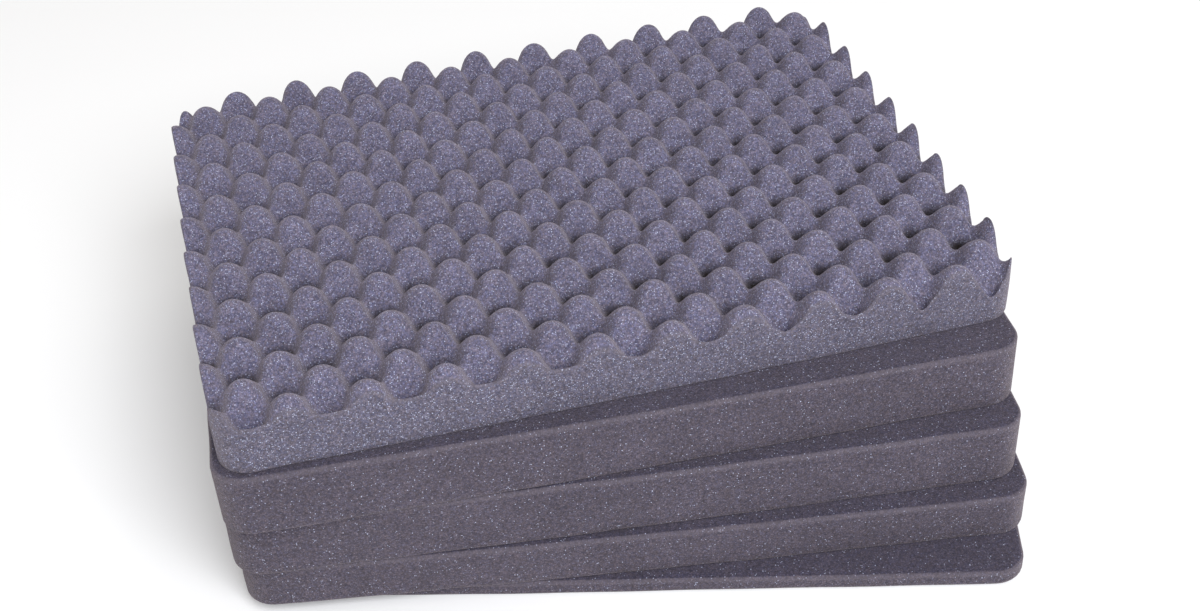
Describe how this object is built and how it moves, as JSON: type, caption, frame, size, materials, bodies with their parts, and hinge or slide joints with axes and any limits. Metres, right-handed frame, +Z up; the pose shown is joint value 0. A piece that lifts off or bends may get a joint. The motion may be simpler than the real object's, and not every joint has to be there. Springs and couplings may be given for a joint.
{
  "type": "case foam insert set",
  "caption": "Fanned stack of loose grey foam pads for lining a hard equipment case: flat pads of different thickness under a convoluted egg-crate lid pad.",
  "frame": {"origin": "centre of the base pad's underside, where the stack rests", "axes": "+X along the base pad's long side, +Y along its short side, +Z up through the stack"},
  "size_m": [0.6332, 0.5352, 0.1905],
  "materials": {
    "foam_flat": "matte open-cell polyurethane foam, knife-cut faces",
    "foam_waved": "matte open-cell polyurethane foam, convoluted face"
  },
  "bodies": {
    "base_pad": {"base_pad": "foam_flat"},
    "lower_pad": {"lower_pad": "foam_flat"},
    "middle_pad": {"middle_pad": "foam_flat"},
    "upper_pad": {"upper_pad": "foam_flat"},
    "lid_pad": {"lid_pad": "foam_waved"}
  },
  "joints": [
    {"name": "lower_pad_lift", "type": "slide", "parent": "base_pad", "child": "lower_pad", "axis": [0, 0, 1], "range_m": [0, 0.08]},
    {"name": "middle_pad_lift", "type": "slide", "parent": "lower_pad", "child": "middle_pad", "axis": [0, 0, 1], "range_m": [0, 0.08]},
    {"name": "upper_pad_lift", "type": "slide", "parent": "middle_pad", "child": "upper_pad", "axis": [0, 0, 1], "range_m": [0, 0.08]},
    {"name": "lid_pad_lift", "type": "slide", "parent": "upper_pad", "child": "lid_pad", "axis": [0, 0, 1], "range_m": [0, 0.08]}
  ]
}
